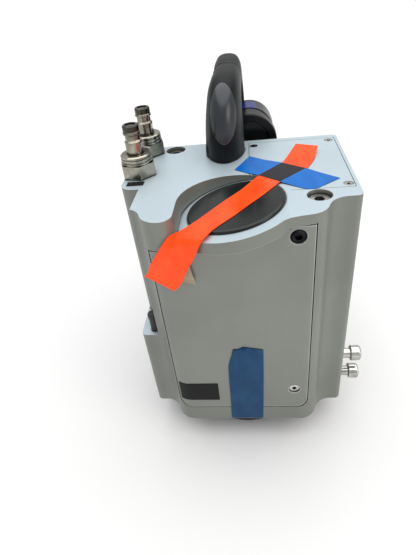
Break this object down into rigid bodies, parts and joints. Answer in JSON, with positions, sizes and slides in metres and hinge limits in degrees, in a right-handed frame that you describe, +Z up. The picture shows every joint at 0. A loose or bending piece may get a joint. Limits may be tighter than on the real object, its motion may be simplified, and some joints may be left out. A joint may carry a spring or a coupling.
{
  "type": "galvo scanner head",
  "caption": "Laser galvo scanner head with a sculpted grey housing, tilted round port under a cap, carry handle, water nipples and capped scan lens",
  "frame": {"origin": "centre of the lens cap's lower face, on the surface that the head stands on and on the axis of the scan lens", "axes": "+Z up along the lens axis, from the lens to the roof; +Y from the front panel to the rear module; +X to the right seen from the front"},
  "size_m": [0.172, 0.2606, 0.2616],
  "materials": {
    "blasted_aluminium": "satin",
    "panel_aluminium": "satin",
    "black_steel": "satin",
    "plain_steel": "satin",
    "anodised": "matte",
    "black_anodised": "matte",
    "optical_glass": "gloss",
    "seal_rubber": "matte",
    "cap_plastic": "gloss",
    "handle_plastic": "satin",
    "nickel": "satin",
    "bronze": "satin",
    "black_plastic": "satin",
    "mirror_coat": "gloss",
    "board": "satin",
    "camera_shell": "satin",
    "blue_tape": "gloss",
    "orange_tape": "gloss"
  },
  "bodies": {
    "root": {"housing": "blasted_aluminium", "front_panel": "panel_aluminium", "panel_cap_screws": "black_steel", "panel_countersunk_screws": "plain_steel", "top_cover_plate": "blasted_aluminium", "top_cover_screws": "plain_steel", "base_plate": "anodised", "base_plate_screws": "plain_steel", "mounting_bolts": "plain_steel", "port_window": "optical_glass", "port_gasket": "seal_rubber", "port_cap": "cap_plastic", "carry_handle": "handle_plastic", "handle_inset_front": "handle_plastic", "handle_inset_rear": "handle_plastic", "handle_screws": "plain_steel", "supply_nipple": "nickel", "return_nipple": "nickel", "nipple_seals": "seal_rubber", "lock_knob_bushes": "bronze", "latch_block": "anodised", "sensor_plug": "black_plastic", "sensor_plug_cap": "black_plastic", "lens_barrel": "black_anodised", "lens_lower": "optical_glass", "lens_middle": "optical_glass", "lens_upper": "optical_glass", "lens_spacers": "black_anodised", "lens_retaining_ring": "black_anodised", "lens_flange_screws": "black_steel", "glass_holder": "black_anodised", "protective_glass": "optical_glass", "glass_retainer": "black_anodised", "lens_cap": "black_plastic", "galvo_bridge": "anodised", "x_galvo_stator": "black_anodised", "y_galvo_stator": "black_anodised", "x_driver_board": "board", "y_driver_board": "board", "board_standoffs": "bronze", "rear_module": "blasted_aluminium", "rear_module_cover": "panel_aluminium", "inlet_tube": "anodised", "collimator_tube": "black_anodised", "fibre_socket": "nickel", "power_connector": "nickel", "data_connector": "nickel", "camera_barrel": "camera_shell", "camera_end_cap": "cap_plastic", "camera_band": "blue_tape", "camera_saddle": "anodised", "barrier_tape": "orange_tape"},
    "supply_valve": {"supply_poppet": "nickel"},
    "return_valve": {"return_poppet": "nickel"},
    "x_scanner": {"x_rotor": "plain_steel", "x_mirror": "mirror_coat"},
    "y_scanner": {"y_rotor": "plain_steel", "y_mirror": "mirror_coat"},
    "upper_lock": {"upper_lock_knob": "plain_steel"},
    "lower_lock": {"lower_lock_knob": "plain_steel"}
  },
  "joints": [
    {"name": "x_scan", "type": "hinge", "parent": "root", "child": "x_scanner", "pos_m": [-0.022, 0, 0.108], "axis": [0, 0, 1], "range_deg": [-12, 12], "stiffness_Nm_per_rad": 0.01},
    {"name": "y_scan", "type": "hinge", "parent": "root", "child": "y_scanner", "pos_m": [0, 0, 0.108], "axis": [0, 1, 0], "range_deg": [-12, 12], "stiffness_Nm_per_rad": 0.01},
    {"name": "supply_valve_press", "type": "slide", "parent": "root", "child": "supply_valve", "axis": [0, 0, -1], "range_m": [0, 0.003], "stiffness_N_per_m": 500, "springref_m": -0.001},
    {"name": "return_valve_press", "type": "slide", "parent": "root", "child": "return_valve", "axis": [0, 0, -1], "range_m": [0, 0.003], "stiffness_N_per_m": 500, "springref_m": -0.001},
    {"name": "upper_lock_pull", "type": "slide", "parent": "root", "child": "upper_lock", "axis": [1, 0, 0], "range_m": [0, 0.006], "stiffness_N_per_m": 800, "springref_m": -0.002},
    {"name": "lower_lock_pull", "type": "slide", "parent": "root", "child": "lower_lock", "axis": [1, 0, 0], "range_m": [0, 0.006], "stiffness_N_per_m": 800, "springref_m": -0.002}
  ]
}
